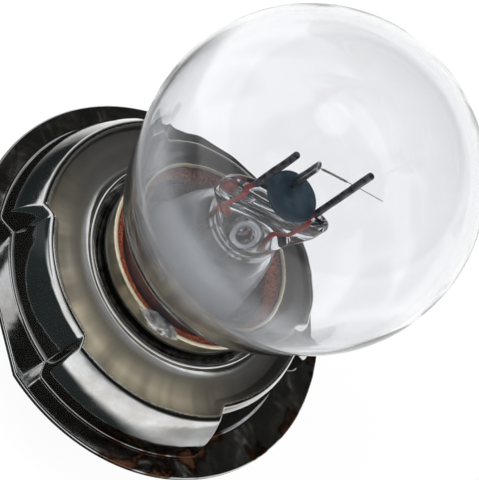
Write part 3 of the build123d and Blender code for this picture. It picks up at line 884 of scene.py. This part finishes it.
def coiled_filament(material):
    """Tungsten filament: a fine coil from the post's hook to the right lead, with straight legs."""
    foot, top = on_press(*POST_FOOT), on_press(*POST_TOP)
    line = (top - foot).normalized()
    hook = foot + line * ((top - foot).length - 2 * POST_RADIUS - FILAMENT_RADIUS)
    weld = on_press(LEAD_RIGHT, FILAMENT_WELD_HEIGHT, LEAD_OFFSET - LEAD_RADIUS - FILAMENT_RADIUS)
    run = (weld - hook).normalized()
    coil_length = (weld - hook).length - HOOK_LEG - WELD_LEG
    tree, inputs = coil_tree()
    filament = put_in_scene("coiled_filament", bpy.data.meshes.new("coiled_filament"))
    change = filament.modifiers.new("coil", "NODES")
    change.node_group = tree
    for name, value in (
        ("Coil length", coil_length * MM),
        ("Coil radius", COIL_RADIUS * MM),
        ("Wire radius", COIL_WIRE_RADIUS * MM),
        ("Turns", float(round(coil_length / COIL_PITCH))),
        ("First leg", (HOOK_LEG + FILAMENT_STUB) * MM),
        ("Last leg", (WELD_LEG + FILAMENT_TAIL) * MM),
        ("Finish", material),
    ):
        change[inputs[name]] = value
    coil = settled(filament)
    filament.modifiers.clear()
    filament.data = coil
    coil.transform(set_along((hook + run * HOOK_LEG) * MM, run))
    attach(filament, "root")
    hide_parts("filament")
    return filament


def sight(recipe):
    """Masks for rays that come straight or through glass from the eye, and for mirrored ones."""
    seen = recipe.node("LightPath", outlet="Is Camera Ray")
    through = recipe.node("LightPath", outlet="Is Transmission Ray")
    shiny = recipe.node("LightPath", outlet="Is Glossy Ray")
    bounced = recipe.node("LightPath", outlet="Glossy Depth").capped()
    return (seen + through * (1 - bounced)).capped(), (shiny + through * bounced).capped()


def paper_floor():
    """White paper floor; for mirrored rays it has soft dark patches of painted shade, which the plate
    reflects.
    """
    recipe = Recipe("floor_white")
    plain, mirrored = sight(recipe)
    lit = 1.0
    # painted shade for mirrored rays only: the floor is darker in these patches
    for middle, radius, darkness in MIRRORED_SHADE_PATCHES:
        spot = recipe.measure("DISTANCE", recipe.place(), middle)
        lit = recipe.steps(spot, radius, radius + MIRRORED_SHADE_EDGE, 1 - darkness, 1.0) * lit
    share = (plain + mirrored * lit).capped() * 0.94
    tone = recipe.mix(mirrored * (1 - lit), (0.8, 0.8, 0.8), (0.01, 0.013, 0.013))
    paper = recipe.node("BsdfDiffuse", {}, {"Color": tone})
    glow = recipe.node("Emission", {}, {"Color": (1, 1, 1, 1), "Strength": 1.0})
    mixed = recipe.node("MixShader", {}, {0: share, 1: paper, 2: glow})
    recipe.node("OutputMaterial", {}, {"Surface": mixed})
    wide = FLOOR_HALF_WIDTH
    corners = [(-wide, -wide, FOOT_TIP), (wide, -wide, FOOT_TIP), (wide, wide, FOOT_TIP),
               (-wide, wide, FOOT_TIP)]
    floor = mesh_piece("floor", corners, [(0, 1, 2, 3)], recipe.made)
    recipe.made.cycles.emission_sampling = "NONE"


def studio():
    """White surroundings; the plate mirrors a dark ceiling with openings and a pale horizon."""
    room = Recipe("studio", bpy.data.worlds)
    away = room.node("TexCoord", outlet="Generated")
    rise = room.height(away)
    shade = CEILING
    for start, full, tone in BANDS:
        shade = room.mix(room.steps(rise, sin(radians(start)), sin(radians(full))), shade, tone)
    for turn, height, spread, fade, tone in OPENINGS:
        near = room.measure("DOT_PRODUCT", away, towards(turn, height))
        shade = room.mix(room.steps(near, cos(radians(fade)), cos(radians(spread))), shade, tone)
    shade = room.mix(sight(room)[0], shade, (1, 1, 1))
    glow = room.node("Background", {}, {"Color": shade, "Strength": 1.0})
    room.node("OutputWorld", {}, {"Surface": glow})
    bpy.context.scene.world = room.made


def soft_box(name, turn, height, distance, wide, tall, power):
    """Area lamp that faces the lamp's middle from a turn and height in degrees, unseen in the plate."""
    light = bpy.data.lights.new(name, "AREA")
    light.shape, light.size, light.size_y, light.energy = "RECTANGLE", wide * MM, tall * MM, power
    box = put_in_scene(name, light)
    box.visible_glossy = False
    box.visible_transmission = False
    away = towards(turn, height)
    box.matrix_world = set_along((Vector(LAMP_MIDDLE) + away * distance) * MM, away)


def photograph_camera():
    """Long lens at the photograph's angle, turned so that the lamp leans as it does there."""
    turn, lean = radians(CAMERA_TURN), radians(PICTURE_LEAN)
    back = towards(CAMERA_TURN, CAMERA_HEIGHT)
    side = Vector((-sin(turn), cos(turn), 0))
    up = back.cross(side)
    right = up * cos(lean) + side * sin(lean)
    top = up * sin(lean) - side * cos(lean)
    aim = (side * AIM_SIDE + Vector((0, 0, AIM_HEIGHT))) * MM
    camera = bpy.data.cameras.new("photograph")
    camera.sensor_fit, camera.sensor_width = "HORIZONTAL", 36.0
    camera.lens = camera.sensor_width * PIXELS_PER_MM * CAMERA_DISTANCE / PICTURE_WIDTH
    camera.clip_start, camera.clip_end = 0.01, 20.0
    holder = put_in_scene("photograph", camera)
    turned = Matrix((right, top, back)).transposed().to_4x4()
    holder.matrix_world = Matrix.Translation(aim + back * CAMERA_DISTANCE * MM) @ turned
    bpy.context.scene.camera = holder


bpy.context.scene.view_settings.view_transform = "Standard"
paper_floor()
studio()
photograph_camera()
soft_box("key_window", 250, 58, 300, 220, 160, 1.6)
soft_box("side_strip", 20, 48, 260, 100, 200, 0.8)

finishes = {
    "cap_shell": plated("shell_nickel", (0.6, 0.6, 0.57), (0.25, 0.21, 0.14), 0.5, 0.08, 0.0, 7.7),
    "ring_solder": soft_solder(),
    "contact_solder": soft_solder(),
    "exhaust_tube": clear_glass("exhaust_clear", (0.95, 0.96, 0.97), (0.86, 0.9, 0.91), 0.05),
    "seal_wire_left": copper_clad(),
    "seal_wire_right": copper_clad(),
    "support_lead_left": wire_metal("lead_left_nickel", *DARK_NICKEL),
    "support_lead_right": wire_metal("lead_right_nickel", *DARK_NICKEL),
    "shield_dish": shield_metal(),
    "filament_post": wire_metal("post_pale", *PALE_WIRE),
    "side_lead": wire_metal("side_lead_copper", *COPPER),
    "centre_lead": wire_metal("centre_lead_copper", *COPPER),
    "basing_cement": basing_cement(),
    "base_insulator": black_glass(),
    "centre_contact": plain_brass(),
}
for node, material in finishes.items():
    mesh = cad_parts[node].data
    mesh.materials.clear()
    mesh.materials.append(material)
pressed_ring(plated("ring_nickel", (0.72, 0.73, 0.73), (0.4, 0.36, 0.3), 0.4, 0.06, 0.85))
fused_stem(clear_glass("stem_clear", (0.95, 0.96, 0.97), (0.86, 0.89, 0.9), 0.12, STEM_PAINTED_REFLECTION,
                       STEM_REFLECTION_COLOUR, tuple(on_press(*EXHAUST_OUTLET))))
solder_smear(soft_solder())
coiled_filament(wire_metal("filament_grey", *TUNGSTEN))
blown_bulb(clear_glass("bulb_clear", (0.98, 0.98, 0.99), (0.93, 0.94, 0.96), 0.08, BULB_PAINTED_REFLECTION))
